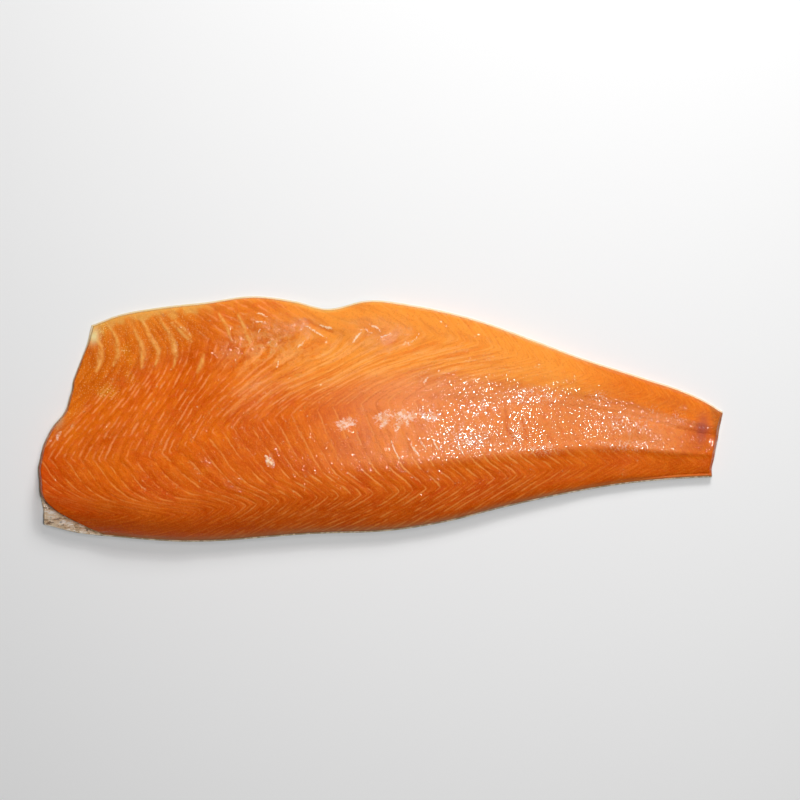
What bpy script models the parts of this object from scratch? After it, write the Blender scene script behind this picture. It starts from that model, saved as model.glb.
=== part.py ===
"""Raw salmon fillet: one whole side of the fish, flesh up, lying on its skin.

X runs from the head end to the tail, Y from the back edge to the belly edge, Z up.
The fillet is drawn as it grew: a side of the fish is lofted along its muscle flakes,
and then the head end and the tail are cut off it, as a knife does.
"""

import bmesh
import bpy
import numpy as np
from mathutils import Matrix, Vector, noise

MM = 0.001

# Driving sizes, in metres
THICKEST = 29 * MM  # flesh over the loin, a third of the way from the head end
SKIN_THICKNESS = 1.2 * MM
SKIN_GAP = 0.4 * MM  # between the skin and the flesh that lies on it
SKIN_MARGIN = 1.2 * MM  # how far the skin stands out past the flesh
BACK_RISE = 7.0 * MM  # how high the skin curls up along the back edge
RIM = 2.2 * MM  # thickness of the flesh where it ends at the back edge
FLAKE_DEPTH = 0.9 * MM  # depth of the furrow between two flakes
HEAD_CUT_LEAN = 0.26  # sideways run of the head cut for each unit of height
TAIL_CUT_LEAN = 0.35

# Resolution of the solids
COLUMNS_PER_FLAKE = 2
TOP_ROWS = 26
UNDER_ROWS = 9
SKIN_COLUMNS = 58
SKIN_ROWS = 16

# Outline seen from above, as (x, y) stations of each edge
BELLY_EDGE = np.array([
    (-330, 66), (-270, 66), (-230, 74), (-212, 81), (-176, 88), (-140, 92), (-100, 97), (-68, 93),
    (-42, 87), (-10, 93.5), (28, 89.5), (76, 78.5), (124, 61.5), (160, 48), (208, 32.5),
    (244, 20.5), (261, 12.5), (275, 4), (300, -8),
]) * MM
BACK_EDGE = np.array([
    (-330, -78), (-272, -82), (-240, -89.5), (-208, -93), (-160, -96.5), (-56, -90.5), (16, -87),
    (52, -81), (100, -69), (148, -58.5), (196, -50.5), (232, -47), (300, -44),
]) * MM
MIDLINE = np.array([
    (-360, -34), (-240, -31), (-208, -32), (-157, -22), (-138, -12), (-104, -4), (-72, 3),
    (-13, 12), (40, 14), (96, 11), (176, 6.5), (256, -12), (300, -18),
]) * MM
HEAD_CUT = np.array([
    (-228.5, 82), (-230, 72), (-234.5, 57), (-244, 33), (-246.5, 20), (-252, 5), (-261.5, -7), (-269, -22),
    (-272.5, -42), (-270.5, -60), (-262, -70), (-246, -79.5), (-228, -88.5), (-208, -97),
]) * MM
SKIN_HEAD_CUT = np.array([
    (-229.5, 84), (-231, 74), (-236, 57), (-245.5, 33), (-248, 20), (-253.5, 5), (-263, -7), (-270.5, -22),
    (-274, -42), (-272, -60), (-269, -72), (-267, -83), (-262, -88), (-250, -91), (-238, -94),
]) * MM
TAIL_CUT = np.array([(275, 10), (270.5, -13), (266.5, -34), (263, -54)]) * MM

# A flake's edge is a W lying on its side. BACK_TURNS and BELLY_TURNS hold the places across the fillet
# where it turns, from the back edge (-1) over the midline (0) to the belly edge (+1). Each FLAKE_SHIFT row
# gives, for the flake that starts at that place on the midline, how far tailwards its edge has moved at
# the back edge, the back turn, the loin, the belly turn and the belly edge.
BACK_TURNS = np.array([-1.0, -0.705, -0.52, 0.0])
BELLY_TURNS = np.array([-0.72, 0.0, 0.72, 1.0])
FLAKE_STATIONS = np.array([-360, -256, -172, -136, -104, -48, -8, 32, 96, 292]) * MM
FLAKE_SHIFT = np.array([
    (16, 100, 36, 68, 56),
    (14, 90, 36, 60, 50),
    (8, 66, 34, 50, 14),
    (6, 58, 34, 86, 40),
    (0, 54, 32, 115, 82),
    (-20, 44, 24, 128, 112),
    (-20, 41, 24, 115, 103),
    (-18, 42, 26, 95, 84),
    (-11, 37, 22, 64, 52),
    (0, 8, 4, 12, 8),
]) * MM
FLAKE_SPACING = np.array([(-360, 11.0), (-170, 11.2), (-60, 11.0), (60, 10.4), (292, 8.4)]) * MM

# Height of the flesh across the fillet, as shares of its thickest there: over the belly cavity the
# wall is thin, and behind the vent the flesh is thick almost to its edge.
SECTION_PLACES = np.array([-1.0, -0.93, -0.8, -0.62, -0.35, 0.0, 0.3, 0.55, 0.7, 0.88, 1.0])
CAVITY_SECTION = np.array([0.33, 0.56, 0.83, 0.99, 1.0, 0.86, 0.68, 0.42, 0.33, 0.27, 0.17])
TAIL_SECTION = np.array([0.46, 0.64, 0.80, 0.92, 1.0, 0.99, 0.98, 0.92, 0.83, 0.64, 0.42])
THICKNESS = np.array([(-330, 0.62), (-270, 0.72), (-190, 0.95), (-110, 1.0), (0, 0.93), (90, 0.74),
                      (180, 0.52), (262, 0.36), (300, 0.32)]) * (MM, 1)
# Where the belly wall's crease runs, across the fillet
CREASE = np.array([(-330, 0.05), (-252, 0.14), (-224, 0.42), (-192, 0.54), (-144, 0.62), (-100, 0.65),
                   (300, 0.66)]) * (MM, 1)
CAVITY_END = np.array([(-330, 0.0), (-120, 0.0), (0, 0.35), (90, 1.0), (300, 1.0)]) * (MM, 1)


def smooth(xs, ys, x):
    """A smooth curve through the points (xs, ys), read at x."""
    slopes = np.gradient(ys, xs)
    x = np.clip(x, xs[0], xs[-1])
    i = np.clip(np.searchsorted(xs, x) - 1, 0, len(xs) - 2)
    step = xs[i + 1] - xs[i]
    t = (x - xs[i]) / step
    rise = t * t * (3 - 2 * t)
    start = t * (1 - t) ** 2 * step * slopes[i]
    end = t * t * (t - 1) * step * slopes[i + 1]
    return ys[i] * (1 - rise) + ys[i + 1] * rise + start + end


def along(stations, x):
    return smooth(stations[:, 0], stations[:, 1], x)


def ramp(low, high, value):
    """0 below low, 1 above high, and smooth between."""
    t = np.clip((value - low) / (high - low), 0, 1)
    return t * t * (3 - 2 * t)


def flake_starts():
    """Where each furrow between two flakes meets the midline, from head to tail."""
    starts = [FLAKE_STATIONS[0]]
    while starts[-1] < FLAKE_STATIONS[-1]:
        starts.append(starts[-1] + along(FLAKE_SPACING, starts[-1]))
    return np.array(starts)


def turned(turns, shifts, across):
    """The shift at a place across the fillet, smooth between the turns."""
    return sum(smooth(turns, row, across) * shift for row, shift in zip(np.eye(len(turns)), shifts))


def flake_edge(start, across):
    """x of the flake edge that leaves the midline at start, at this place across the fillet."""
    back_edge, back_turn, loin, belly_turn, belly_edge = (
        smooth(FLAKE_STATIONS, column, start) for column in FLAKE_SHIFT.T)
    to_back = turned(BACK_TURNS, (back_edge, back_turn, loin, 0), across)
    to_belly = turned(BELLY_TURNS, (belly_turn, 0, belly_turn, belly_edge), across)
    return start + np.where(across < 0, to_back, to_belly)


def across_to_y(x, across):
    edge = np.where(across > 0, along(BELLY_EDGE, x), along(BACK_EDGE, x))
    middle = along(MIDLINE, x)
    return middle + np.abs(across) * (edge - middle)


def underside(x, across):
    """Height of the skin's outer face: flat on the board, curling up along the back edge."""
    curl = ramp(-0.76, -1.06, across) * BACK_RISE * (0.55 + 0.45 * along(THICKNESS, x))
    lift = ramp(0.86, 1.0, across) * 1.6 * MM * ramp(-80 * MM, -40 * MM, x) * ramp(30 * MM, -10 * MM, x)
    return curl + lift


def flesh_bed(x, across):
    return underside(x, across) + SKIN_THICKNESS + SKIN_GAP


def flake_width(x, y):
    """Width of the flakes at each point of the grid, measured square to their edges."""
    along_x = np.gradient(x, axis=0) * COLUMNS_PER_FLAKE
    lean = np.gradient(x, axis=1) / np.gradient(y, axis=1)
    return along_x / np.hypot(1, lean)


def flesh_top(x, across, flake, width):
    """Height of the cut face: the fillet's section, its long furrows and ridges, and its flakes."""
    cavity = smooth(SECTION_PLACES, CAVITY_SECTION, across)
    tail = smooth(SECTION_PLACES, TAIL_SECTION, across)
    share = along(CAVITY_END, x)
    height = THICKEST * along(THICKNESS, x) * (cavity * (1 - share) + tail * share)
    head_half = ramp(20 * MM, -90 * MM, x)
    tail_half = 1 - ramp(60 * MM, -60 * MM, x)
    height -= 0.45 * MM * np.exp(-((across - 0.02) / 0.03) ** 2) * ramp(-170 * MM, -110 * MM, x)
    height -= 0.9 * MM * np.exp(-((across - along(CREASE, x)) / 0.05) ** 2) * head_half
    height += 0.9 * MM * np.exp(-((across + 0.47) / 0.06) ** 2) * tail_half
    height += 0.8 * MM * np.exp(-((across - 0.33) / 0.07) ** 2) * tail_half
    waves = np.array([noise.noise(Vector((px * 28, pa * 2.3, 3.0))) for px, pa in
                      zip(x.ravel(), across.ravel())]).reshape(x.shape)
    height += 1.3 * MM * waves * ramp(1.0, 0.9, np.abs(across))
    furrow = np.abs(2 * (flake % 1) - 1)  # 1 in a furrow, 0 on a flake's crest
    fade = ramp(1.0, 0.93, np.abs(across)) * (1 - 0.75 * ramp(110 * MM, 190 * MM, x))
    height -= FLAKE_DEPTH * furrow * fade * ramp(1.5 * MM, 6 * MM, width)
    return np.maximum(height, flesh_bed(x, across) + RIM)


def link(obj, material, collection):
    obj.data.materials.append(material)
    collection.objects.link(obj)
    return obj


def bent_grid(name, points, closed_sleeve):
    """A grid primitive with its corners moved to points[i, j]. A closed sleeve is welded and capped."""
    columns, rows = points.shape[0] - 1, points.shape[1] - 1
    bm = bmesh.new()
    bmesh.ops.create_grid(bm, x_segments=columns, y_segments=rows, size=0.5)
    for vert in bm.verts:
        i = round((vert.co.x + 0.5) * columns)
        j = round((vert.co.y + 0.5) * rows)
        vert.co = points[i, j]
    if closed_sleeve:
        bmesh.ops.remove_doubles(bm, verts=bm.verts[:], dist=0.001 * MM)
        bmesh.ops.holes_fill(bm, edges=[e for e in bm.edges if e.is_boundary], sides=0)
    bmesh.ops.recalc_face_normals(bm, faces=bm.faces[:])
    mesh = bpy.data.meshes.new(name)
    bm.to_mesh(mesh)
    bm.free()
    return bpy.data.objects.new(name, mesh)


def flesh_side():
    """The flesh of the fish's whole side: a sleeve whose columns follow the flakes' edges."""
    starts = flake_starts()
    flake = np.arange(0, (len(starts) - 1) * COLUMNS_PER_FLAKE + 1) / COLUMNS_PER_FLAKE
    start = np.interp(flake, np.arange(len(starts)), starts)
    # The rows crowd towards both edges, where the section turns down.
    over = np.sin(np.linspace(np.pi / 2, -np.pi / 2, TOP_ROWS)) * 0.35 + np.linspace(1, -1, TOP_ROWS) * 0.65
    under = np.linspace(-1, 1, UNDER_ROWS + 2)[1:-1]
    start_over, over = np.meshgrid(start, over, indexing="ij")
    start_under, under = np.meshgrid(start, under, indexing="ij")
    x_over = flake_edge(start_over, over)
    x_under = flake_edge(start_under, under)
    y_over = across_to_y(x_over, over)
    top = flesh_top(x_over, over, flake[:, None] + 0 * over, flake_width(x_over, y_over))
    top_points = np.stack([x_over, y_over, top], axis=-1)
    bed_over = flesh_bed(x_over, over)
    bed_points = np.stack([x_under, across_to_y(x_under, under), flesh_bed(x_under, under)], axis=-1)
    back_foot = top_points[:, -1:].copy()
    back_foot[..., 2] = bed_over[:, -1:]
    belly_foot = top_points[:, :1].copy()
    belly_foot[..., 2] = bed_over[:, :1]
    sleeve = np.concatenate([top_points, back_foot, bed_points, belly_foot, top_points[:, :1]], axis=1)
    return bent_grid("flesh", sleeve, closed_sleeve=True)


def skin_side():
    """The skin of the whole side: a sheet that backs the flesh and stands a little past it."""
    x = np.linspace(-300 * MM, 290 * MM, SKIN_COLUMNS + 1)
    across = np.sin(np.linspace(-np.pi / 2, np.pi / 2, SKIN_ROWS + 1)) * 0.4 \
        + np.linspace(-1, 1, SKIN_ROWS + 1) * 0.6
    x, across = np.meshgrid(x, across, indexing="ij")
    y = across_to_y(x, across) + SKIN_MARGIN * np.sign(across) * ramp(0.7, 1.0, np.abs(across))
    outer = np.stack([x, y, underside(x, across)], axis=-1)
    inner = outer[:, ::-1].copy()
    inner[..., 2] += SKIN_THICKNESS
    return bent_grid("skin", np.concatenate([outer, inner, outer[:, :1]], axis=1), closed_sleeve=True)


def cut_line(stations):
    """A smooth line through the cut's stations that wavers a little, as a cut by hand does."""
    fine = np.linspace(0, len(stations) - 1, 4 * len(stations))
    line = np.stack([smooth(np.arange(len(stations)), column, fine) for column in stations.T], axis=-1)
    line[:, 0] += [0.8 * MM * noise.noise(Vector((0, y * 90, 7.0))) for y in line[:, 1]]
    return line


def knife(name, stations, end, lean, collection):
    """A cutter with the cut's outline on one side, leaning so that the cut face looks a little upwards."""
    cut = cut_line(stations)
    far = 400 * MM * end
    outline = [*cut, (far, cut[-1][1]), (far, cut[0][1])]
    curve = bpy.data.curves.new(name, "CURVE")
    curve.dimensions = "2D"
    curve.fill_mode = "BOTH"
    curve.extrude = 60 * MM
    spline = curve.splines.new("POLY")
    spline.points.add(len(outline) - 1)
    for point, (x, y) in zip(spline.points, outline):
        point.co = (x, y, 0, 1)
    spline.use_cyclic_u = True
    flat = bpy.data.objects.new(name + "_outline", curve)
    bpy.context.scene.collection.objects.link(flat)
    bpy.context.view_layer.update()
    mesh = bpy.data.meshes.new_from_object(flat.evaluated_get(bpy.context.evaluated_depsgraph_get()))
    bpy.data.objects.remove(flat)
    mesh.transform(Matrix(((1, 0, -end * lean, 0), (0, 1, 0, 0), (0, 0, 1, 0), (0, 0, 0, 1))))
    bm = bmesh.new()
    bm.from_mesh(mesh)
    bmesh.ops.remove_doubles(bm, verts=bm.verts[:], dist=0.001 * MM)
    bmesh.ops.recalc_face_normals(bm, faces=bm.faces[:])
    bm.to_mesh(mesh)
    bm.free()
    blade = bpy.data.objects.new(name, mesh)
    collection.objects.link(blade)
    blade.hide_render = True
    blade.display_type = "WIRE"
    return blade


def cut_with(obj, *blades):
    for blade in blades:
        modifier = obj.modifiers.new("Cut by " + blade.name, "BOOLEAN")
        modifier.operation = "DIFFERENCE"
        modifier.object = blade


def material(name, colour, roughness):
    made = bpy.data.materials.new(name)
    made.use_nodes = True
    shader = made.node_tree.nodes["Principled BSDF"]
    shader.inputs["Base Color"].default_value = (*colour, 1)
    shader.inputs["Roughness"].default_value = roughness
    shader.inputs["Metallic"].default_value = 0
    return made


def new_collection(name):
    collection = bpy.data.collections.new(name)
    bpy.context.scene.collection.children.link(collection)
    return collection


def stand_at_origin(parts):
    """Moves the meshes so that the fillet's box is centred on the origin and stands on it."""
    graph = bpy.context.evaluated_depsgraph_get()
    corners = np.array([corner for part in parts for corner in part.evaluated_get(graph).bound_box])
    low, high = corners.min(axis=0), corners.max(axis=0)
    move = Matrix.Translation((-(low[0] + high[0]) / 2, -(low[1] + high[1]) / 2, -low[2]))
    for obj in bpy.data.objects:
        obj.data.transform(move)


def main():
    for obj in list(bpy.data.objects):
        bpy.data.objects.remove(obj)
    fillet = new_collection("salmon_fillet")
    cutters = new_collection("cutters")
    flesh = link(flesh_side(), material("flesh", (0.78, 0.20, 0.03), 0.25), fillet)
    skin = link(skin_side(), material("skin", (0.42, 0.43, 0.42), 0.3), fillet)
    tail_blade = knife("tail_cut", TAIL_CUT, 1, TAIL_CUT_LEAN, cutters)
    cut_with(flesh, knife("head_cut", HEAD_CUT, -1, HEAD_CUT_LEAN, cutters), tail_blade)
    cut_with(skin, knife("skin_head_cut", SKIN_HEAD_CUT, -1, 0, cutters), tail_blade)
    bpy.context.view_layer.update()
    stand_at_origin([flesh, skin])
    for part in (flesh, skin):
        part.data.shade_smooth()


main()
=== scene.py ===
import bmesh
import bpy
import numpy as np
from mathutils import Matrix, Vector, noise


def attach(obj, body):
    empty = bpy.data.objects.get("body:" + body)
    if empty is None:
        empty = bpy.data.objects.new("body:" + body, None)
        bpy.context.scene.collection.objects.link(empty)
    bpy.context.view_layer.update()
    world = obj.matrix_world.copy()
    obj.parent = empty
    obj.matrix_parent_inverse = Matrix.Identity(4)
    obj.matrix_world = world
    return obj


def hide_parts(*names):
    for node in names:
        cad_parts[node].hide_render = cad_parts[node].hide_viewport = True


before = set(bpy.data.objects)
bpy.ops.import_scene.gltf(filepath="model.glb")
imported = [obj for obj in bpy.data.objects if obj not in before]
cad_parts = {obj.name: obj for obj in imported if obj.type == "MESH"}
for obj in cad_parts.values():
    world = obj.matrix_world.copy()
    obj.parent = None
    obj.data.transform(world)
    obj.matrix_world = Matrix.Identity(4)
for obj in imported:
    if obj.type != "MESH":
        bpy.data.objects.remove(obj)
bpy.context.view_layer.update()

MM = 0.001

# The fillet's own sizes, in metres: x from the head end to the tail, y from back to belly
CENTRING = (-0.06 * MM, -0.13 * MM)  # puts the middle of the footprint at the origin
THICKEST = 29 * MM
SKIN_THICKNESS = 1.2 * MM
SKIN_MARGIN = 1.2 * MM
BED_GAP = 0.1 * MM  # the flesh lies this close on its skin
BACK_RISE = 7.0 * MM
RIM = 2.2 * MM
HEAD_CUT_LEAN = 0.26
TAIL_CUT_LEAN = 0.35
FURROW_DEPTH = 0.3 * MM
EDGE_ROUNDING = 3.2 * MM
CUT_WOBBLE = 0.8 * MM
CUT_FACE_FLAKE = 11 * MM  # the width of a flake on the faces of the cuts
FLAKE_JITTER = 0.12  # of a flake's width

# How finely the pieces are divided, along and across, and in how many steps the faces of the cuts run down
FLESH_GRID = (570, 146)
SKIN_GRID = (420, 84)
HEAD_FACE_STEPS = 9
TAIL_FACE_STEPS = 5
# Under the flesh its border runs inwards in rings, each this share of the outline
RING_SCALES = (0.985, 0.93, 0.86, 0.77)
RING_MIDDLE = -20 * MM

# The camera looks straight down, and its picture is this wide
LENS = 85
SENSOR_WIDTH = 36
PICTURE_WIDTH = 0.64
PICTURE_CENTRE = (0.016, 0.0152)
AMBIENT_STRENGTH = 0.07

BELLY_EDGE = np.array([
    (-330, 66), (-270, 66), (-230, 74), (-212, 81), (-176, 88), (-140, 92), (-100, 97), (-68, 93),
    (-42, 87), (-10, 93.5), (28, 89.5), (76, 78.5), (124, 61.5), (160, 48), (208, 32.5),
    (244, 20.5), (261, 12.5), (275, 4), (300, -8),
]) * MM
BACK_EDGE = np.array([
    (-330, -78), (-272, -82), (-240, -89.5), (-208, -93), (-160, -96.5), (-56, -90.5), (16, -87),
    (52, -81), (100, -69), (148, -58.5), (196, -50.5), (232, -47), (300, -44),
]) * MM
MIDLINE = np.array([
    (-360, -34), (-240, -31), (-208, -32), (-157, -22), (-138, -12), (-104, -4), (-72, 3),
    (-13, 12), (40, 14), (96, 11), (176, 6.5), (256, -12), (300, -18),
]) * MM
HEAD_CUT = np.array([
    (-228.5, 82), (-230, 72), (-234.5, 57), (-244, 33), (-246.5, 20), (-252, 5), (-261.5, -7), (-269, -22),
    (-272.5, -42), (-270.5, -60), (-262, -70), (-246, -79.5), (-228, -88.5), (-208, -97),
]) * MM
SKIN_HEAD_CUT = np.array([
    (-229.2, 84), (-230.7, 74), (-235.2, 57), (-244.7, 33), (-247.2, 20), (-252.7, 5), (-262.2, -7),
    (-269.7, -22), (-273.2, -42), (-271.8, -60), (-269, -72), (-267, -83), (-262, -88), (-250, -91),
    (-238, -94),
]) * MM
TAIL_CUT = np.array([(275, 10), (270.5, -13), (266.5, -34), (263, -54)]) * MM

# A flake's edge is a W lying on its side. BACK_TURNS and BELLY_TURNS hold the places across the fillet
# where it turns, from the back edge (-1) over the midline (0) to the belly edge (+1). BELLY_TURNS begins
# with the belly turn's mirror place, which levels the smooth half of the curve at the midline. Each
# FLAKE_SHIFT row gives, for the flake that starts at the same entry of FLAKE_STATIONS, how far tailwards
# its edge has moved at the back edge, the back turn, the loin, the belly turn and the belly edge.
BACK_TURNS = np.array([-1.0, -0.705, -0.52, 0.0])
BELLY_TURNS = np.array([-0.72, 0.0, 0.72, 1.0])
FLAKE_STATIONS = np.array([-360, -256, -172, -136, -104, -48, -8, 32, 96, 292]) * MM
FLAKE_SHIFT = np.array([
    (16, 100, 36, 68, 56),
    (14, 90, 36, 60, 50),
    (8, 66, 34, 50, 14),
    (6, 58, 34, 86, 40),
    (0, 54, 32, 115, 82),
    (-20, 44, 24, 128, 112),
    (-20, 41, 24, 115, 103),
    (-18, 42, 26, 95, 84),
    (-11, 37, 22, 64, 52),
    (0, 8, 4, 12, 8),
]) * MM
FLAKE_SPACING = np.array([(-360, 11.0), (-170, 11.2), (-60, 11.0), (60, 10.4), (292, 8.4)]) * MM

SECTION_PLACES = np.array([-1.0, -0.93, -0.8, -0.62, -0.35, 0.0, 0.3, 0.55, 0.7, 0.88, 1.0])
CAVITY_SECTION = np.array([0.33, 0.56, 0.83, 0.99, 1.0, 0.86, 0.68, 0.42, 0.33, 0.27, 0.17])
TAIL_SECTION = np.array([0.46, 0.64, 0.80, 0.92, 1.0, 0.99, 0.98, 0.92, 0.83, 0.64, 0.42])
THICKNESS = np.array([(-330, 0.62), (-270, 0.72), (-190, 0.95), (-110, 1.0), (0, 0.93), (90, 0.74),
                      (180, 0.52), (262, 0.36), (300, 0.32)]) * (MM, 1)
# Where the belly wall's crease runs, across the fillet
CREASE = np.array([(-330, 0.05), (-252, 0.14), (-224, 0.42), (-192, 0.54), (-144, 0.62), (-100, 0.65),
                   (300, 0.66)]) * (MM, 1)
CAVITY_END = np.array([(-330, 0.0), (-120, 0.0), (0, 0.35), (90, 1.0), (300, 1.0)]) * (MM, 1)

# Marks on this fillet, each a line through places (x, y) in mm and its half width
# The first marks are low ridges, each with a painted highlight along it
RIDGES_AND_PAINTED_GLINTS = (
    (((-97.4, 68.7), (-94.7, 71.4)), 0.9),
    (((-81.5, 42.2), (-79.5, 46.8)), 1.0),
    (((-65.6, 54.4), (-64.2, 58.1), (-59, 62.1)), 0.9),
    (((-21.8, 60.7), (-14.5, 69.4)), 1.1),
    (((-14.5, 71.4), (-6.6, 68.5)), 0.9),
    (((22, 60.1), (28.6, 63.4), (31.3, 67.4)), 0.8),
    (((8.7, 68.5), (-1.9, 63.4)), 0.8),
    (((-8.5, 75.4), (0.8, 70)), 0.9),
    (((-59, 74.6), (-50, 68.5), (-43, 65.4)), 1.0),
    (((-48.3, 75.4), (-37.7, 71.4)), 0.9),
    (((-98.7, 78.6), (-90.8, 76.6)), 0.9),
    (((-98.1, 84.6), (-89.4, 82)), 0.8),
    (((35.2, 28.9), (37.9, 34.2)), 1.0),
    (((9.2, -16), (10.1, -21.9), (15.4, -31.2)), 1.0),
    (((21.4, -12.6), (26, -21.9), (31.9, -29.3)), 1.0),
    (((31.9, -15.3), (35.9, -23.3)), 0.9),
    (((41.9, -16), (46.6, -24.6)), 0.9),
    (((59.8, -18), (67.1, -28.6)), 0.8),
    (((-89.5, -28.5), (-85, -36)), 2.0),
)
FLAP_STRIPES = (
    (((-225.6, 63.2), (-222, 57.6), (-222.6, 47.2), (-226, 38)), 2.0),
    (((-216, 74.4), (-209.6, 64.8), (-208, 52.8), (-211.5, 43)), 1.9),
    (((-196, 73), (-190.4, 60.8), (-188, 49.6), (-190, 41)), 1.9),
    (((-190.4, 79.2), (-180, 61.6), (-176, 55.2), (-178, 43)), 1.8),
    (((-173.6, 79.2), (-164, 60.8), (-162, 49.6), (-164.5, 42)), 1.9),
    (((-165.6, 76.8), (-149.6, 61.6)), 1.5),
    (((-162.5, 78.5), (-150, 66)), 1.1),
    (((-140, 51.2), (-142, 43), (-145, 37)), 1.7),
    (((-112, 83), (-106.4, 69.6), (-103, 60)), 1.6),
    (((-128, 84), (-121, 72), (-118, 62)), 1.3),
)
# Grooves, painted darker along them as shade
FOLD_GROOVES_AND_PAINTED_SHADE = (
    (((-60.2, 79.3), (-50, 74), (-37.7, 69.5)), 1.6),
    (((99.2, 6.4), (100.4, -7.9), (106.8, -18.1)), 1.5),
    (((111.9, -0.2), (117, -16.8)), 1.4),
)
# Patches of pale film left on the flesh, and two painted highlights, at (-256, -14.4) and (-86, -33): centre
# and reach in mm
FILM_AND_PAINTED_GLINT_PATCHES = (
    ((-26.4, -3.2), (8, 5)), ((3.2, 0.8), (7, 7)), ((19.2, 2.4), (9, 7)), ((40, 2.4), (8, 4)),
    ((-256, -14.4), (3.4, 4)), ((-86, -33), (2.6, 5)), ((14, -6), (4, 3)),
)
# Where the tail's fascia glitters, and the crumpled film on the belly wall: centre and reach in mm
SHINE_PATCHES = (
    ((71.6, -15.2), (22, 12)), ((80, 8.8), (16, 6)), ((120, 17.6), (24, 7)), ((108.8, -12), (9, 14)),
    ((153.6, 29.6), (4, 4)), ((175, 19.6), (8, 8)), ((197.6, -4), (20, 7)), ((195, -21.6), (22, 5)),
    ((217.6, 11.2), (6, 5)), ((236.8, 4), (6, 5)), ((125.6, -23), (18, 7)), ((36, 4), (10, 8)),
    ((-92, 40), (16, 8)), ((-84, 62), (14, 12)), ((-112, 52), (12, 8)), ((-60, 76), (12, 6)),
    ((4, 66), (14, 8)),
)
# Yellowish, half clear lumps of tissue on the belly wall
LUMPY_PLACE = (-88, 58)
LUMPY_REACH = (34, 20)


def smooth(xs, ys, x):
    """A smooth curve through the points (xs, ys), read at x."""
    slopes = np.gradient(ys, xs)
    x = np.clip(x, xs[0], xs[-1])
    i = np.clip(np.searchsorted(xs, x) - 1, 0, len(xs) - 2)
    step = xs[i + 1] - xs[i]
    t = (x - xs[i]) / step
    rise = t * t * (3 - 2 * t)
    start = t * (1 - t) ** 2 * step * slopes[i]
    end = t * t * (t - 1) * step * slopes[i + 1]
    return ys[i] * (1 - rise) + ys[i + 1] * rise + start + end


def along(stations, x):
    return smooth(stations[:, 0], stations[:, 1], x)


def ramp(low, high, value):
    """0 below low, 1 above high, and smooth between."""
    t = np.clip((value - low) / (high - low), 0, 1)
    return t * t * (3 - 2 * t)


def blob(x, y, centre, reach, turn=0.0):
    """1 at the centre, falling away smoothly over the reach (in mm) along and across the turned axis."""
    dx, dy = x / MM - centre[0], y / MM - centre[1]
    c, s = np.cos(np.radians(turn)), np.sin(np.radians(turn))
    return np.exp(-((dx * c + dy * s) / reach[0]) ** 2 - ((dy * c - dx * s) / reach[1]) ** 2)


def streaks(x, y, marks):
    """1 along each of the marked lines, falling away over its half width and thin at its ends."""
    share = 0 * x
    for line, half in marks:
        total = len(line) - 1
        for k, ((ax, ay), (bx, by)) in enumerate(zip(line[:-1], line[1:])):
            dx, dy = bx - ax, by - ay
            t = np.clip(((x / MM - ax) * dx + (y / MM - ay) * dy) / (dx * dx + dy * dy), 0, 1)
            off = np.hypot(x / MM - ax - t * dx, y / MM - ay - t * dy)
            taper = 0.55 + 0.45 * np.sin(np.pi * (k + t) / total)
            share = np.maximum(share, np.exp(-(off / (half * taper)) ** 2))
    return share


def wavy_streaks(x, y, marks):
    """The marked lines with uneven courses."""
    moved_x = x + 1.4 * MM * ripple(x, y, 4 * MM, 47.0)
    moved_y = y + 1.4 * MM * ripple(x, y, 4 * MM, 48.0)
    return streaks(moved_x, moved_y, marks)


def ripple(x, y, size, seed, stretch=1.0):
    """Smooth noise between about -1 and 1, with lumps of this size (and longer in x by the stretch)."""
    xs, ys = (x / (size * stretch)).ravel(), (y / size).ravel()
    return np.array([noise.noise(Vector((a, b, seed))) for a, b in zip(xs, ys)]).reshape(x.shape)


def flake_starts():
    starts = [FLAKE_STATIONS[0]]
    while starts[-1] < FLAKE_STATIONS[-1]:
        starts.append(starts[-1] + along(FLAKE_SPACING, starts[-1]))
    return np.array(starts)


def turned(turns, shifts, across):
    """The shift at a place across the fillet: half smooth and half straight, so each turn has a point."""
    total = 0
    for row, shift in zip(np.eye(len(turns)), shifts):
        total = total + shift * (0.5 * smooth(turns, row, across) + 0.5 * np.interp(across, turns, row))
    return total


def flake_edge(start, across):
    """x of the flake edge that leaves the midline at start, at this place across the fillet."""
    back_edge, back_turn, loin, belly_turn, belly_edge = (
        smooth(FLAKE_STATIONS, column, start) for column in FLAKE_SHIFT.T)
    to_back = turned(BACK_TURNS, (back_edge, back_turn, loin, 0), across)
    to_belly = turned(BELLY_TURNS, (belly_turn, 0, belly_turn, belly_edge), across)
    return start + np.where(across < 0, to_back, to_belly)


def across_to_y(x, across):
    edge = np.where(across > 0, along(BELLY_EDGE, x), along(BACK_EDGE, x))
    middle = along(MIDLINE, x)
    return middle + np.abs(across) * (edge - middle)


def y_to_across(x, y):
    middle = along(MIDLINE, x)
    edge = np.where(y > middle, along(BELLY_EDGE, x), along(BACK_EDGE, x))
    return np.sign(y - middle) * (y - middle) / (edge - middle)


def underside(x, across):
    """Height of the skin's outer face: flat, curling up along the back edge and lifted a little along the
    middle of the belly edge."""
    curl = ramp(-0.76, -1.06, across) * BACK_RISE * (0.55 + 0.45 * along(THICKNESS, x))
    lift = ramp(0.86, 1.0, across) * 1.6 * MM * ramp(-80 * MM, -40 * MM, x) * ramp(30 * MM, -10 * MM, x)
    return curl + lift


def flesh_bed(x, across):
    return underside(x, across) + SKIN_THICKNESS + BED_GAP


def flake_count(x, across):
    """How many flakes lie between the head end and each point, counted along its row of the grid."""
    starts = flake_starts()
    jitter = np.random.default_rng(5).uniform(-FLAKE_JITTER, FLAKE_JITTER, len(starts))
    fine = np.linspace(starts[0], starts[-1], 700)
    count = np.interp(fine, starts, np.arange(len(starts)) + jitter)
    rows = []
    for row_x, row_across in zip(x.T, across.T):
        rows.append(np.interp(row_x, flake_edge(fine, np.full(fine.shape, row_across[0])), count))
    return np.array(rows).T


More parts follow.
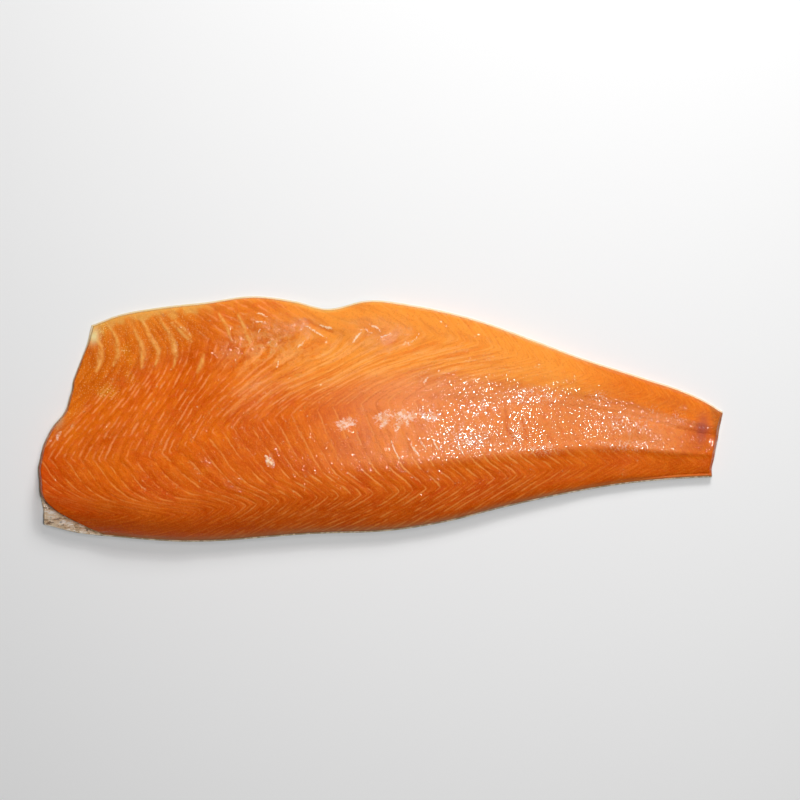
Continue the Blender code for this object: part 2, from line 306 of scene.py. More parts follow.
def cut_x(stations, across):
    """x where each row across the fillet meets the cut."""
    fine = np.linspace(0, len(stations) - 1, 12 * len(stations))
    line = np.stack([smooth(np.arange(len(stations)), column, fine) for column in stations.T], axis=-1)
    line[:, 0] += [CUT_WOBBLE * noise.noise(Vector((0, y * 90, 7.0))) for y in line[:, 1]]
    place = y_to_across(line[:, 0], line[:, 1])
    order = np.argsort(place)
    return np.interp(across, place[order], line[order, 0])


def section_height(x, across):
    cavity = smooth(SECTION_PLACES, CAVITY_SECTION, across)
    tail = smooth(SECTION_PLACES, TAIL_SECTION, across)
    share = along(CAVITY_END, x)
    height = THICKEST * along(THICKNESS, x) * (cavity * (1 - share) + tail * share)
    head_half = ramp(20 * MM, -90 * MM, x)
    tail_half = 1 - ramp(60 * MM, -60 * MM, x)
    height -= 0.35 * MM * np.exp(-((across - 0.02) / 0.05) ** 2) * ramp(-170 * MM, -110 * MM, x)
    crease = 0.8 * ramp(-130 * MM, -170 * MM, x) + 0.15
    height -= crease * MM * np.exp(-((across - along(CREASE, x)) / 0.07) ** 2) * head_half
    height += 0.8 * MM * np.exp(-((across + 0.47) / 0.07) ** 2) * tail_half
    height += 0.6 * MM * np.exp(-((across - 0.33) / 0.09) ** 2) * tail_half
    height += 1.3 * MM * ripple(x * 28, across * 2.3, 1.0, 3.0) * ramp(1.0, 0.9, np.abs(across))
    return np.maximum(height, flesh_bed(x, across) + RIM)


def flesh_relief(x, y, across, count, width):
    """Height added to the section: flakes, fibres along them, folds in the slack belly wall, and lumps."""
    crowding = ramp(1.2 * MM, 5 * MM, width)
    uneven = 0.75 + 0.5 * ripple(x, y, 22 * MM, 11.0)
    calm = calm_share(x, across)
    relief = -FURROW_DEPTH * (1 - np.sin(np.pi * (count % 1))) * crowding * uneven * (1 - 0.8 * calm)
    relief += 0.22 * MM * ripple(count * 2.2, across * 6, 1.0, 24.0) * (1 - 0.85 * calm)
    relief += 0.45 * MM * ripple(x, y, 17 * MM, 21.0, 1.6)
    relief += 0.14 * MM * ripple(x, y, 6 * MM, 22.0, 1.4) * (1 - 0.5 * calm)
    relief += 0.07 * MM * ripple(x, y, 2.6 * MM, 23.0)
    # Folds that run up towards the belly edge
    slack = blob(x, y, (-50, 66), (75, 20))
    relief += 0.5 * MM * slack * ripple(count * 1.6, across * 9, 1.0, 25.0)
    relief -= 1.1 * MM * blob(x, y, (-98, 54), (22, 14), 30)
    relief += 0.45 * MM * blob(x, y, LUMPY_PLACE, LUMPY_REACH) * ripple(x, y, 5 * MM, 27.0)
    relief += 0.3 * MM * comb_share(x, across) * ripple(count * 1.7, across * 4.5, 1.0, 26.0)
    relief += 0.35 * MM * wavy_streaks(x, y, RIDGES_AND_PAINTED_GLINTS) - 0.6 * MM * wavy_streaks(x, y, FOLD_GROOVES_AND_PAINTED_SHADE)
    relief += 0.25 * MM * streaks(x, y, FLAP_STRIPES)
    return relief


def comb_share(x, across):
    """1 where the flakes lie flat and fan out in combed strands, between midline and belly."""
    return ramp(0.04, 0.18, across) * ramp(0.85, 0.55, across) * ramp(-140 * MM, -95 * MM, x) \
        * ramp(140 * MM, 60 * MM, x)


def calm_share(x, across):
    """1 where the fascia covers the flakes, so that their lines hardly show: the tail's middle and end,
    and in part below the belly edge."""
    band = ramp(-0.52, -0.42, across) * ramp(0.42, 0.3, across)
    band = band * (0.5 * ramp(-150 * MM, -60 * MM, x) + 0.5 * ramp(0 * MM, 60 * MM, x))
    belly = 0.7 * ramp(0.35, 0.6, across) * ramp(-110 * MM, -50 * MM, x)
    return np.maximum(np.maximum(band, belly), ramp(110 * MM, 190 * MM, x))


def grid_mesh(name, points, values):
    """A grid primitive with its corners moved to points[i, j], and each of the values as an attribute."""
    columns, rows = points.shape[0] - 1, points.shape[1] - 1
    bm = bmesh.new()
    bmesh.ops.create_grid(bm, x_segments=columns, y_segments=rows, size=0.5)
    mesh = bpy.data.meshes.new(name)
    bm.to_mesh(mesh)
    bm.free()
    flat = np.empty(len(mesh.vertices) * 3, np.float32)
    mesh.vertices.foreach_get("co", flat)
    place = flat.reshape(-1, 3)
    i = np.rint((place[:, 0] + 0.5) * columns).astype(int)
    j = np.rint((place[:, 1] + 0.5) * rows).astype(int)
    moved = points[i, j].astype(np.float32)
    mesh.vertices.foreach_set("co", moved.ravel())
    for key, value in values.items():
        layer = mesh.attributes.new(key, "FLOAT", "POINT")
        layer.data.foreach_set("value", value[i, j].astype(np.float32))
    mesh.update()
    return mesh


def close_underneath(mesh):
    """Carries the open border inwards under the flesh in rings, and fills the flat middle."""
    bm = bmesh.new()
    bm.from_mesh(mesh)
    bmesh.ops.remove_doubles(bm, verts=bm.verts[:], dist=0.002 * MM)
    middle = Vector((RING_MIDDLE, 0, 0))
    last = 1.0
    for scale in RING_SCALES:
        border = [e for e in bm.edges if e.is_boundary]
        made = bmesh.ops.extrude_edge_only(bm, edges=border)["geom"]
        ring = [v for v in made if isinstance(v, bmesh.types.BMVert)]
        step = scale / last
        for v in ring:
            v.co = middle + (v.co - middle) * step
        xs = np.array([v.co.x for v in ring])
        ys = np.array([v.co.y for v in ring])
        for v, z in zip(ring, flesh_bed(xs, y_to_across(xs, ys))):
            v.co.z = z
        last = scale
    border = [e for e in bm.edges if e.is_boundary]
    bmesh.ops.triangle_fill(bm, edges=border, use_beauty=True, normal=(0, 0, -1))
    bmesh.ops.recalc_face_normals(bm, faces=bm.faces[:])
    bm.to_mesh(mesh)
    bm.free()


def place_piece(name, mesh, node, *materials):
    mesh.transform(((1, 0, 0, CENTRING[0]), (0, 1, 0, CENTRING[1]), (0, 0, 1, 0), (0, 0, 0, 1)))
    for material in materials:
        mesh.materials.append(material)
    mesh.shade_smooth()
    piece = bpy.data.objects.new(name, mesh)
    bpy.context.scene.collection.objects.link(piece)
    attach(piece, "root")
    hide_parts(node)
    return piece


def spread(rows, crowded, even):
    """Places across the fillet, from the belly edge to the back edge: one share of their spacing crowded
    towards the edges, and the other one even."""
    arc = np.linspace(np.pi / 2, -np.pi / 2, rows + 1)
    return np.sin(arc) * crowded + np.linspace(1, -1, rows + 1) * even


def flesh_piece():
    columns, rows = FLESH_GRID
    across = spread(rows, 0.42, 0.58)
    run = np.linspace(0, 1, columns + 1)
    head = cut_x(HEAD_CUT, across)
    tail = cut_x(TAIL_CUT, across)
    # The cuts lean, so the top's ends lie back from the outline by a share of their height.
    head_top = head + HEAD_CUT_LEAN * section_height(head + 5 * MM, across)
    tail_top = tail - TAIL_CUT_LEAN * section_height(tail - 4 * MM, across)
    run, across = np.meshgrid(run, across, indexing="ij")
    x = head_top + (tail_top - head_top) * run
    y = across_to_y(x, across)
    count = flake_count(x, across)
    lean = np.gradient(x, axis=1) / np.gradient(y, axis=1)
    slope_x = np.gradient(count, axis=0) / np.gradient(x, axis=0)
    slope_v = np.gradient(count, axis=1) / np.gradient(y, axis=1) - slope_x * lean
    width = 1 / np.maximum(np.hypot(slope_x, slope_v), 1)
    z = section_height(x, across) + flesh_relief(x, y, across, count, width)
    # The edges are rounded over down to the skin.
    bed = flesh_bed(x, across)
    half = np.abs(np.where(across > 0, along(BELLY_EDGE, x), along(BACK_EDGE, x)) - along(MIDLINE, x))
    reach = np.clip((1 - np.abs(across)) * half / EDGE_ROUNDING, 0, 1)
    z = bed + (z - bed) * np.sqrt(reach * (2 - reach))
    top = np.stack([x, y, z], axis=-1)
    values = {"flake": count, "width": width, "across": across}
    top, values = with_wall(top, values, head, across[0], HEAD_FACE_STEPS, 0)
    top, values = with_wall(top, values, tail, across[0], TAIL_FACE_STEPS, -1)
    values.update(tone_masks(top[..., 0], top[..., 1], values["across"]))
    mesh = grid_mesh("fillet_flesh", top, values)
    close_underneath(mesh)
    place_piece("fillet_flesh", mesh, "flesh", flesh_finish())


def with_wall(top, values, foot_x, across, steps, end):
    """Adds the face of a cut: columns that run down from the top's end to the cut's foot on the skin."""
    edge = top[end]
    foot = np.stack([foot_x, across_to_y(foot_x, across), flesh_bed(foot_x, across)], axis=-1)
    share = np.linspace(0, 1, steps + 1)[1:, None, None]
    wall = edge * (1 - share) + foot * share
    bulge = np.sin(np.pi * share[..., 0])
    rough = 0.9 * MM * ripple(wall[..., 1], wall[..., 2], 5 * MM, 31.0) \
        + 0.4 * MM * ripple(wall[..., 1], wall[..., 2], 1.8 * MM, 32.0)
    tall = ramp(1 * MM, 8 * MM, edge[:, 2] - foot[:, 2])
    wall[..., 0] += rough * bulge * tall
    grown = {}
    for key, value in values.items():
        if key == "flake":
            added = value[end] + (wall[..., 0] - edge[:, 0]) / CUT_FACE_FLAKE
        else:
            added = np.repeat(value[end][None], steps, axis=0)
        grown[key] = joined(value, added, end)
    return joined(top, wall, end), grown


def joined(top, face, end):
    """The columns of a cut's face, set before the top's first column or after its last one."""
    return np.concatenate([face[::-1], top] if end == 0 else [top, face])


def tone_masks(x, y, across):
    """Shares, from 0 to 1, of each tint that the flesh takes on in places."""
    patchy = 0.6 + 0.8 * ripple(x, y, 9 * MM, 41.0)
    # The belly wall: wide soft stripes of fat, and golden where the fat lies on it
    flap = ramp(0.0, 0.16, across - along(CREASE, x)) * ramp(-120 * MM, -165 * MM, x)
    gold = 0.3 * flap
    gold = np.maximum(gold, 1.3 * blob(x, y, (-201, 47), (5, 17), 12) * patchy)
    gold = np.maximum(gold, 1.2 * blob(x, y, (-217, 22), (8, 9), 40) * patchy)
    gold = np.maximum(gold, 1.2 * blob(x, y, (-222, 70), (9, 10), 20) * patchy)
    # Lighter towards the belly: partly the belly's paler flesh, partly painted light on the side that faces
    # the lamps
    light = ramp(0.05, 0.4, across) * ramp(-150 * MM, -30 * MM, x)
    light = np.maximum(light, 0.6 * ramp(0.8, 1.0, across)) * (1 - 0.7 * ramp(130 * MM, 210 * MM, x))
    pale = ramp(-0.55, -0.42, across) * ramp(0.4, 0.1, across) * ramp(-70 * MM, 30 * MM, x) \
        * ramp(262 * MM, 225 * MM, x)
    # Darker and redder towards the back edge and at the head end's lower corner: partly the flesh's deeper
    # colour, partly painted shade where the back slopes away from the lamps
    deep = ramp(-0.42, -0.85, across) * (1 - 0.45 * ramp(60 * MM, 200 * MM, x))
    deep = np.maximum(deep, blob(x, y, (-252, -60), (26, 18), 20))
    deep = np.maximum(deep, blob(x, y, (-215, -78), (34, 8), 10))
    deep = np.maximum(deep, 0.6 * blob(x, y, (-170, -54), (42, 16)))
    ragged_x = x + 5 * MM * ripple(x, y, 5 * MM, 43.0)
    ragged_y = y + 5 * MM * ripple(x, y, 5 * MM, 44.0)
    film, shine = (np.max([blob(ragged_x, ragged_y, centre, reach) for centre, reach in patches], axis=0)
                   for patches in (FILM_AND_PAINTED_GLINT_PATCHES, SHINE_PATCHES))
    shine = shine * (0.8 + 0.2 * ramp(-60 * MM, 20 * MM, x))
    belly_rim = ramp(0.92, 0.98, across + 0.06 * ripple(x, y, 6 * MM, 46.0)) * ramp(-125 * MM, -150 * MM, x)
    notch = blob(x, 0 * x, (-50, 0), (24, 1)) + blob(x, 0 * x, (124, 0), (16, 1))
    belly_rim = np.maximum(belly_rim, ramp(0.955, 0.99, across) * (0.15 + 0.85 * notch))
    return {
        "gold": np.clip(gold, 0, 1), "light": light, "pale": pale, "deep": np.clip(deep, 0, 1),
        "film": film, "flap": flap, "calm": calm_share(x, across),
        "streak": wavy_streaks(x, y, RIDGES_AND_PAINTED_GLINTS),
        "stripe": streaks(x + 1.5 * MM * ripple(x, y, 9 * MM, 45.0), y, FLAP_STRIPES),
        "red": np.maximum(blob(x, y, (-266, -40), (14, 26)), blob(x, y, (-240, -69), (24, 6), -18)),
        "comb": comb_share(x, across), "lumpy": blob(x, y, LUMPY_PLACE, LUMPY_REACH),
        "haze": blob(x, y, (-253.6, -1.6), (3, 6), -20),
        "fold": wavy_streaks(x, y, FOLD_GROOVES_AND_PAINTED_SHADE), "blood": blob(x, y, (256, -8), (5, 11), -8),
        "wet": ramp(-0.6, -0.4, across) * ramp(0.5, 0.25, across) * ramp(0 * MM, 70 * MM, x),
        "shine": shine, "quiet": ramp(-0.5, -0.72, across) * (0.4 + 0.6 * ramp(-80 * MM, -150 * MM, x)),
        "close": ramp(-0.15, 0.05, across) * ramp(-40 * MM, -90 * MM, x) * (1 - flap),
        "rim": belly_rim, "back_rim": ramp(-0.93, -0.99, across),
        "tail_end": ramp(266 * MM, 271 * MM, x + 0.12 * (y + 35 * MM)),
        "corner": blob(x, y, (-228, 66), (4, 6), -15),
    }


def skin_piece():
    columns, rows = SKIN_GRID
    across = spread(rows, 0.4, 0.6)
    head = cut_x(SKIN_HEAD_CUT, across)
    tail = cut_x(TAIL_CUT, across)
    run, across = np.meshgrid(np.linspace(0, 1, columns + 1), across, indexing="ij")
    x = head + (tail - head) * run
    y = across_to_y(x, across) + SKIN_MARGIN * np.sign(across) * ramp(0.7, 1.0, np.abs(across))
    # Past the flesh the bare skin is wrinkled.
    bare = ramp(1.5 * MM, 7 * MM, cut_x(HEAD_CUT, across[0])[None] - x)
    wrinkles = ripple(x * 0.5 + y, y - x * 0.5, 3.5 * MM, 51.0, 0.5)
    z = underside(x, across) + bare * 0.9 * MM * (1 + wrinkles)
    values = {"across": across, "bare": bare}
    mesh = grid_mesh("fillet_skin", np.stack([x, y, z], axis=-1), values)
    bm = bmesh.new()
    bm.from_mesh(mesh)
    bmesh.ops.recalc_face_normals(bm, faces=bm.faces[:])
    if sum(f.normal.z * f.calc_area() for f in bm.faces) > 0:
        bmesh.ops.reverse_faces(bm, faces=bm.faces[:])
    bm.to_mesh(mesh)
    bm.free()
    piece = place_piece("fillet_skin", mesh, "skin", skin_finish(), skin_finish(True))
    wall = piece.modifiers.new("Skin thickness", "SOLIDIFY")
    wall.thickness = SKIN_THICKNESS
    wall.offset = -1
    wall.material_offset = 1
    wall.material_offset_rim = 1


def node(tree, kind, inputs=None, **settings):
    made = tree.nodes.new(kind)
    for name, value in settings.items():
        setattr(made, name, value)
    for key, value in (inputs or {}).items():
        if isinstance(value, bpy.types.NodeSocket):
            tree.links.new(value, made.inputs[key])
        else:
            made.inputs[key].default_value = value
    return made


class Finish:
    """A material with a Principled shader, and short ways to make the nodes that feed it."""

    def __init__(self, name):
        self.material = bpy.data.materials.new(name)
        self.material.use_nodes = True
        self.tree = self.material.node_tree
        self.shader = self.tree.nodes["Principled BSDF"]
        self.place = node(self.tree, "ShaderNodeTexCoord").outputs["Object"]

    def share(self, name):
        return node(self.tree, "ShaderNodeAttribute", attribute_name=name).outputs["Fac"]

    def calc(self, operation, *values):
        return node(self.tree, "ShaderNodeMath", dict(enumerate(values)), operation=operation).outputs[0]

    def fade(self, value, low, high, to_low=0.0, to_high=1.0):
        """The value carried smoothly from one range into another one."""
        ends = {"From Min": low, "From Max": high, "To Min": to_low, "To Max": to_high}
        return node(self.tree, "ShaderNodeMapRange", {"Value": value, **ends},
                    interpolation_type="SMOOTHSTEP").outputs["Result"]

    def speckle(self, spot, scale, detail, rough):
        texture = {"Vector": spot, "Scale": scale, "Detail": detail, "Roughness": rough}
        return node(self.tree, "ShaderNodeTexNoise", texture).outputs["Fac"]

    def grain(self, size, detail=2.0, rough=0.5, stretch=(1, 1, 1), turn=0.0):
        spot = node(self.tree, "ShaderNodeMapping",
                    {"Vector": self.place, "Scale": stretch, "Rotation": (0, 0, turn)}).outputs[0]
        return self.speckle(spot, 1 / size, detail, rough)

    def noise_at(self, across, along, over=0.0, detail=2.0, rough=0.5):
        """Noise read at a place of the piece's own, such as along a flake."""
        spot = node(self.tree, "ShaderNodeCombineXYZ", {"X": across, "Y": along, "Z": over}).outputs[0]
        return self.speckle(spot, 1.0, detail, rough)

    def times(self, *values):
        product = values[0]
        for value in values[1:]:
            product = self.calc("MULTIPLY", product, value)
        return product

    def blend(self, share, first, second):
        made = node(self.tree, "ShaderNodeMix", data_type="RGBA")
        for key, value in (("Factor", share), ("A", first), ("B", second)):
            socket = [s for s in made.inputs if s.name == key and s.enabled][0]
            if isinstance(value, bpy.types.NodeSocket):
                self.tree.links.new(value, socket)
            elif key == "Factor":
                socket.default_value = value
            else:
                socket.default_value = (*value, 1)
        return [s for s in made.outputs if s.enabled][0]

    def tint(self, colour_so_far, share, second, strength=1.0):
        """The colour so far, with this share of a second one laid over it."""
        if strength != 1.0:
            share = self.calc("MULTIPLY", share, strength)
        return self.blend(share, colour_so_far, second)

    def feed(self, **values):
        for key, value in values.items():
            socket = self.shader.inputs[key.replace("_", " ")]
            if isinstance(value, bpy.types.NodeSocket):
                self.tree.links.new(value, socket)
            else:
                socket.default_value = value


def colour(red, green, blue):
    """A colour as a picture shows it, from 0 to 255, as the linear values that a shader takes."""
    value = np.array([red, green, blue]) / 255
    linear = np.where(value <= 0.04045, value / 12.92, ((value + 0.055) / 1.055) ** 2.4)
    return tuple(float(v) for v in linear)


def flesh_finish():
    f = Finish("raw salmon flesh")
    place = node(f.tree, "ShaderNodeSeparateXYZ", {"Vector": f.place})
    wobble = f.calc("SUBTRACT", f.grain(15 * MM, 2), 0.5)
    shiver = f.calc("SUBTRACT", f.grain(2.4 * MM, 2), 0.5)
    bend = f.calc("MULTIPLY_ADD", wobble, 0.3, f.calc("MULTIPLY", shiver, 0.16))
    count = f.calc("ADD", f.share("flake"), bend)
    across = f.share("across")
    width = f.share("width")
    flap = f.share("flap")
    bare = f.calc("SUBTRACT", 1.0, f.calc("MULTIPLY", f.share("calm"), 0.8))
    close = f.share("close")

    def lines(wide, dash, offset=0.0):
        """Fat lines, one to a flake, each broken into dashes of uneven strength."""
        ahead = f.calc("ADD", count, offset)
        own = f.calc("MULTIPLY_ADD", f.calc("ROUND", ahead), 3.7, offset * 11)
        drift = f.noise_at(own, f.calc("DIVIDE", place.outputs["X"], dash),
                           f.calc("DIVIDE", place.outputs["Y"], dash))
        off = f.calc("MULTIPLY", f.calc("PINGPONG", ahead, 0.5), width)
        thick = f.calc("MULTIPLY", f.fade(drift, 0.3, 0.7, 0.6 * wide, 1.3 * wide),
                       f.calc("MULTIPLY_ADD", close, 0.45, 1.0))
        line = f.fade(f.calc("DIVIDE", off, thick), 0.0, 1.0, 1.0, 0.0)
        gaps = f.calc("MULTIPLY", close, 0.06)
        return f.calc("MULTIPLY", line, f.fade(f.calc("SUBTRACT", drift, gaps), 0.36, 0.58))

    crowd = f.fade(width, 0.8 * MM, 5.0 * MM, 0.35, 1.0)
    no_flap = f.calc("SUBTRACT", 1.0, flap)
    main = lines(0.95 * MM, 11 * MM)
    half = f.times(lines(0.8 * MM, 8 * MM, 0.5), f.fade(close, 0, 1, 0.25, 0.95))
    loud = f.calc("MULTIPLY_ADD", f.share("quiet"), -0.75, 1.0)
    crisp = f.calc("MAXIMUM", close, f.fade(place.outputs["X"], -170 * MM, -50 * MM, 0.62, 1.0))
    fat = f.calc("MAXIMUM", main, half)
    fat = f.times(fat, crowd, bare, no_flap, loud, crisp, f.fade(close, 0, 1, 0.6, 0.66))
    ahead = f.calc("FRACT", count)
    crumbs = f.calc("SUBTRACT", f.grain(1.5 * MM, 4, 0.65), 0.5)

    def ragged(share, low, high):
        """A share with a torn edge."""
        return f.fade(f.calc("MULTIPLY_ADD", crumbs, 1.8, share), low, high)

    def along_flakes(by_count, by_across, over=0.0, detail=2.0, rough=0.5):
        """Noise in strands along the flakes, finer with larger numbers by count and across the fillet."""
        return f.noise_at(f.calc("MULTIPLY", count, by_count), f.calc("MULTIPLY", across, by_across),
                          over, detail, rough)

    def lay(flesh, *tints):
        """The flesh with tints laid over it, each by its own mask and at its own strength."""
        for mask, tone, strength in tints:
            flesh = f.tint(flesh, f.share(mask), colour(*tone), strength)
        return flesh

    strands = along_flakes(2.6, 7.0, detail=3.0, rough=0.6)
    threads = along_flakes(7.5, 20.0, 4.0)
    comb = along_flakes(1.7, 4.5, 9.0)

    flesh = f.blend(f.fade(f.grain(24 * MM, 3), 0.35, 0.65), colour(212, 88, 2), colour(226, 106, 10))
    # Painted light in part: lighter towards the belly, where the surface faces the lamps, as well as the
    # belly's paler flesh
    flesh = f.tint(flesh, f.share("light"), colour(243, 151, 58))
    flesh = f.tint(flesh, f.times(f.fade(comb, 0.5, 0.62), f.share("comb")), colour(255, 178, 104), 0.5)
    flesh = f.tint(flesh, f.times(f.fade(comb, 0.48, 0.38), f.share("comb")), colour(222, 92, 14), 0.45)
    lumps = f.grain(5 * MM, 2)
    flesh = f.tint(flesh, f.times(f.fade(lumps, 0.46, 0.6), f.share("lumpy")), colour(242, 176, 92), 0.85)
    flesh = f.tint(flesh, f.times(f.fade(lumps, 0.46, 0.34), f.share("lumpy")), colour(206, 92, 8), 0.5)
    # The deep tint is partly painted shade on the back side that slopes away from the lamps
    flesh = lay(flesh, ("gold", (218, 130, 0), 0.8), ("pale", (250, 152, 84), 0.75),
                ("deep", (194, 62, 0), 0.6), ("tail_end", (140, 74, 34), 0.6))
    # Painted shade: each flake is darker just behind its fat line, as beside the groove there
    flesh = f.tint(flesh, f.times(f.fade(ahead, 0.0, 0.45, 1.0, 0.0), crowd, bare), colour(186, 60, 0), 0.25)
    flesh = f.tint(flesh, f.fade(strands, 0.5, 0.36), colour(190, 60, 0), 0.22)
    flesh = f.tint(flesh, f.fade(strands, 0.52, 0.68), colour(250, 140, 40), 0.28)
    flesh = f.tint(flesh, f.fade(threads, 0.54, 0.7), colour(252, 146, 36), 0.25)
    flesh = f.tint(flesh, f.fade(f.grain(1.2 * MM, 2, 0.65), 0.52, 0.7), colour(252, 146, 36), 0.35)
    flesh = f.tint(flesh, f.fade(f.grain(1.5 * MM, 2, 0.65), 0.46, 0.3), colour(176, 54, 0), 0.25)
    # Painted shade in the fold grooves; the red is the flesh's own colour at the head end
    flesh = lay(flesh, ("fold", (196, 68, 0), 0.4), ("red", (208, 64, 0), 0.5))
    blush = f.times(f.fade(f.grain(5 * MM, 3, 0.6), 0.5, 0.62), f.fade(close, 0, 1, 0.25, 1.0), no_flap)
    flesh = f.tint(flesh, blush, colour(226, 100, 34), 0.4)
    flesh = f.tint(flesh, fat, f.blend(close, colour(255, 176, 90), colour(252, 158, 92)))
    stripe = f.calc("MULTIPLY", f.share("stripe"), f.fade(f.grain(4 * MM, 4, 0.6), 0.34, 0.56, 0.35, 0.85))
    flesh = f.tint(flesh, stripe, colour(244, 172, 84))
    worn = f.fade(f.grain(1.0 * MM, 2), 0.35, 0.6, 0.5, 1.0)
    # Pale film, and in two places a painted highlight
    film = f.calc("MULTIPLY", ragged(f.share("film"), 0.3, 0.75), worn)
    milky = f.fade(f.grain(2.6 * MM, 3, 0.7), 0.44, 0.56)
    film_tone = f.blend(milky, colour(242, 170, 118), colour(255, 228, 208))
    flesh = f.tint(flesh, film, film_tone, 0.85)
    flesh = lay(flesh, ("haze", (196, 150, 108), 0.7), ("blood", (168, 78, 70), 0.7),
                ("rim", (232, 180, 92), 0.5), ("corner", (232, 218, 160), 0.9),
                ("back_rim", (176, 120, 66), 0.5))
    # Painted highlights: whitish glints along the low ridges
    flesh = f.tint(flesh, ragged(f.share("streak"), 0.5, 0.9), colour(255, 220, 180), 0.8)
    # Painted highlights: yellow-white glints on the golden fat
    painted_fat_glints = f.times(f.fade(f.grain(1.1 * MM, 1), 0.58, 0.68), f.share("gold"))
    flesh = f.tint(flesh, painted_fat_glints, colour(255, 222, 140), 0.7)
    wet = f.share("wet")
    shine = f.share("shine")
    spark = f.grain(1.2 * MM, 3, 0.6)
    glitter = f.calc("MAXIMUM", f.calc("MULTIPLY", wet, 0.4), shine)
    patchy = f.calc("MULTIPLY_ADD", f.grain(4 * MM, 3), 0.35, -0.175)
    # Painted highlights: white flecks where the tail's fascia glitters
    painted_fleck_glints = f.fade(f.calc("ADD", f.calc("MULTIPLY_ADD", shine, 0.06, spark), patchy), 0.56, 0.64)
    flesh = f.tint(flesh, f.times(f.fade(spark, 0.48, 0.36), glitter), colour(206, 84, 20), 0.4)
    flesh = f.tint(flesh, f.times(painted_fleck_glints, shine, wet), colour(255, 222, 196), 0.5)

    coarse = f.calc("MULTIPLY", f.grain(3.4 * MM, 3, 0.55), 0.3)
    fine_amount = f.fade(f.calc("MAXIMUM", f.calc("MULTIPLY", wet, 0.6), shine), 0, 1, 0.3, 0.6)
    height = f.calc("MULTIPLY_ADD", spark, fine_amount, coarse)
    height = f.calc("MULTIPLY_ADD", strands, f.calc("MULTIPLY", bare, 0.2), height)
    height = f.calc("MULTIPLY_ADD", threads, f.calc("MULTIPLY", bare, 0.14), height)
    height = f.calc("MULTIPLY_ADD", fat, 0.12, height)
    height = f.calc("MULTIPLY_ADD", comb, f.calc("MULTIPLY", f.share("comb"), 0.5), height)
    bump = node(f.tree, "ShaderNodeBump", {"Height": height, "Strength": 1.0, "Distance": 0.001})
    # The film of water is smoother than the flesh. Its glints are small and uneven, and lie in clusters.
    swell = f.fade(f.grain(9 * MM, 2), 0.38, 0.62, 0.75, 1.15)
    beads = f.calc("MULTIPLY", f.grain(2.3 * MM, 0.7, 0.4), swell)
    beads = f.calc("MULTIPLY_ADD", along_flakes(1.8, 8.0, 5.0, detail=0.0), 0.7, beads)
    beads = f.calc("MULTIPLY_ADD", fat, 0.15, beads)
    film_bump = node(f.tree, "ShaderNodeBump", {"Height": beads, "Strength": 1.0, "Distance": 0.0005})
    drops = f.calc("MULTIPLY_ADD", glitter, 0.18, f.grain(1.2 * MM, 3))
    f.feed(Base_Color=flesh, Normal=bump.outputs[0], Coat_Normal=film_bump.outputs[0],
           Roughness=f.fade(f.grain(6 * MM, 3), 0.35, 0.65, 0.36, 0.48),
           Subsurface_Weight=0.2, Subsurface_Radius=(1.0, 0.32, 0.12), Subsurface_Scale=0.0025,
           Coat_Weight=f.fade(drops, 0.57, 0.65), Coat_Roughness=0.05, Specular_IOR_Level=0.05)
    return f.material


def skin_finish(inside=False):
    f = Finish("skin lining" if inside else "scaled skin")
    across = f.share("across")
    if inside:
        back, side, belly = colour(170, 146, 108), colour(214, 190, 150), colour(240, 214, 160)
    else:
        back, side, belly = colour(84, 92, 92), colour(150, 156, 152), colour(214, 214, 205)
    tint = f.blend(f.fade(across, -0.85, -0.25), back, side)
    tint = f.blend(f.fade(across, -0.1, 0.5), tint, belly)
    height = f.grain(1.5 * MM, 2)
    if inside:
        bare = f.fade(f.share("bare"), 0.1, 0.6)
        tint = f.tint(tint, bare, colour(226, 196, 156))
        shreds = f.grain(2.4 * MM, 4, 0.7, stretch=(0.35, 1, 1), turn=0.55)
        tint = f.tint(tint, f.fade(f.grain(5 * MM, 4, 0.65), 0.44, 0.6), colour(240, 220, 186), 0.85)
        tint = f.tint(tint, f.times(f.fade(shreds, 0.52, 0.62), bare), colour(255, 250, 240), 0.9)
        tint = f.tint(tint, f.times(f.fade(shreds, 0.48, 0.38), bare), colour(112, 74, 42), 0.8)
        dark = f.times(f.fade(f.grain(3 * MM, 4, 0.65), 0.42, 0.34), f.fade(across, -0.86, -0.94), bare)
        tint = f.tint(tint, dark, colour(62, 56, 48), 0.75)
        height = f.calc("MULTIPLY_ADD", shreds, 2.5, height)
    else:
        rim = scale_rims(f)
        tint = f.tint(tint, f.fade(f.grain(30 * MM, 3), 0.3, 0.7), colour(205, 190, 170), 0.25)
        tint = f.tint(tint, rim, colour(70, 72, 70), 0.45)
        height = f.calc("MULTIPLY_ADD", rim, -1.0, height)
    bump = node(f.tree, "ShaderNodeBump", {"Height": height, "Strength": 0.5, "Distance": 0.0006})
    f.feed(Base_Color=tint, Normal=bump.outputs[0], Coat_Normal=bump.outputs[0], Roughness=0.3,
           Coat_Weight=0.5, Coat_Roughness=0.12)
    return f.material


def scale_rims(f):
    """1 along the rims of the fish's scales, which lie in staggered rows."""
    parts = node(f.tree, "ShaderNodeSeparateXYZ", {"Vector": f.place})
    pitch = 3.6 * MM
    column = f.calc("DIVIDE", parts.outputs["X"], pitch)
    row = f.calc("DIVIDE", parts.outputs["Y"], pitch * 0.5)
    odd = f.calc("PINGPONG", f.calc("FLOOR", row), 1.0)
    u = f.calc("SUBTRACT", f.calc("FRACT", f.calc("MULTIPLY_ADD", odd, 0.5, column)), 0.5)
    w = f.calc("SUBTRACT", f.calc("FRACT", row), 0.5)
    flat = f.calc("POWER", f.calc("MULTIPLY", w, 0.7), 2.0)
    return f.fade(f.calc("SQRT", f.calc("ADD", f.calc("POWER", u, 2.0), flat)), 0.3, 0.5)


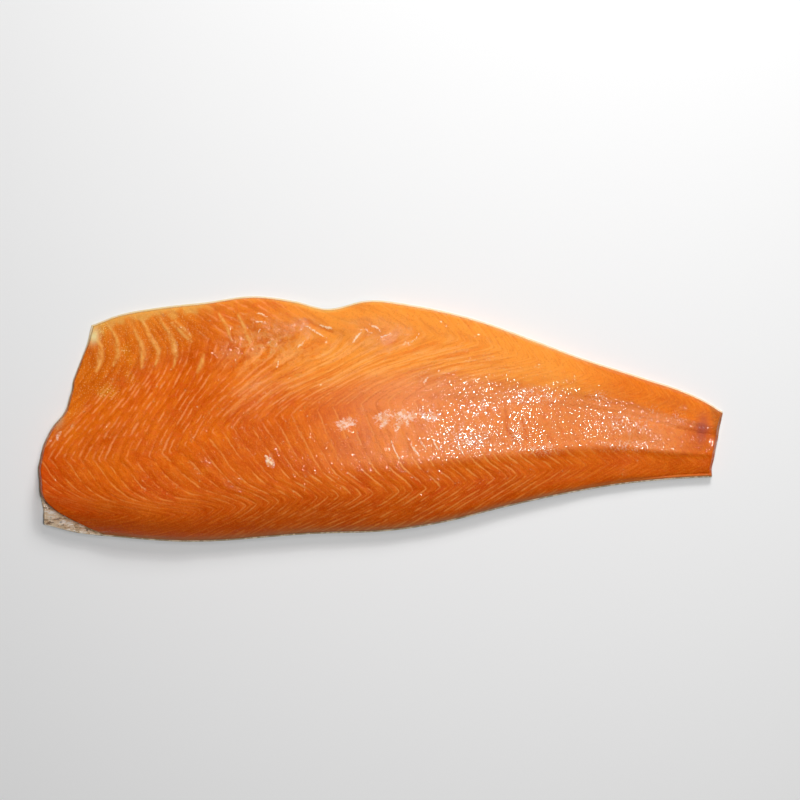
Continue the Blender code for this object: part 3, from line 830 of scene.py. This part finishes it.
def floor():
    bm = bmesh.new()
    bmesh.ops.create_grid(bm, x_segments=1, y_segments=1, size=4)
    mesh = bpy.data.meshes.new("floor")
    bm.to_mesh(mesh)
    bm.free()
    sheet = bpy.data.objects.new("floor", mesh)
    plain = Finish("pale floor")
    plain.feed(Base_Color=(0.86, 0.86, 0.86, 1), Roughness=0.9)
    mesh.materials.append(plain.material)
    bpy.context.scene.collection.objects.link(sheet)


def soft_light(name, place, aim, size, power, glossy=True, diffuse=True):
    """A round area light. One that isn't glossy lights the surfaces but isn't mirrored in them, and one
    that isn't diffuse is only mirrored."""
    lamp = bpy.data.lights.new(name, "AREA")
    lamp.shape = "DISK"
    lamp.size = size
    lamp.energy = power
    holder = bpy.data.objects.new(name, lamp)
    holder.visible_glossy = glossy
    holder.visible_diffuse = diffuse
    holder.location = place
    holder.rotation_euler = (Vector(aim) - Vector(place)).to_track_quat("-Z", "Y").to_euler()
    bpy.context.scene.collection.objects.link(holder)


def studio():
    floor()
    soft_light("high soft light", (0.3, 1.15, 0.95), (0.0, 0.02, 0), 0.6, 11.5, glossy=False)
    soft_light("high small light", (0.25, 1.15, 0.95), (0.0, 0.02, 0), 0.12, 2.5)
    soft_light("overhead light", (0.26, -0.03, 1.7), (0.1, 0.0, 0), 0.17, 10.5)
    soft_light("tail overhead light", (0.5, -0.02, 1.7), (0.15, 0.0, 0), 0.14, 3)
    soft_light("left overhead light", (-0.2, 0.5, 1.5), (-0.1, 0.05, 0), 0.13, 2)
    soft_light("belly overhead light", (0.1, 0.45, 1.5), (0.0, 0.05, 0), 0.12, 3, diffuse=False)
    world = bpy.data.worlds.new("studio")
    world.use_nodes = True
    world.node_tree.nodes["Background"].inputs["Color"].default_value = (1, 1, 1, 1)
    world.node_tree.nodes["Background"].inputs["Strength"].default_value = AMBIENT_STRENGTH
    bpy.context.scene.world = world
    bpy.context.scene.view_settings.view_transform = "Standard"


def camera():
    lens = bpy.data.cameras.new("camera")
    lens.lens = LENS
    lens.sensor_width = SENSOR_WIDTH
    eye = bpy.data.objects.new("camera", lens)
    eye.location = (*PICTURE_CENTRE, PICTURE_WIDTH * LENS / SENSOR_WIDTH)
    bpy.context.scene.collection.objects.link(eye)
    bpy.context.scene.camera = eye


flesh_piece()
skin_piece()
studio()
camera()
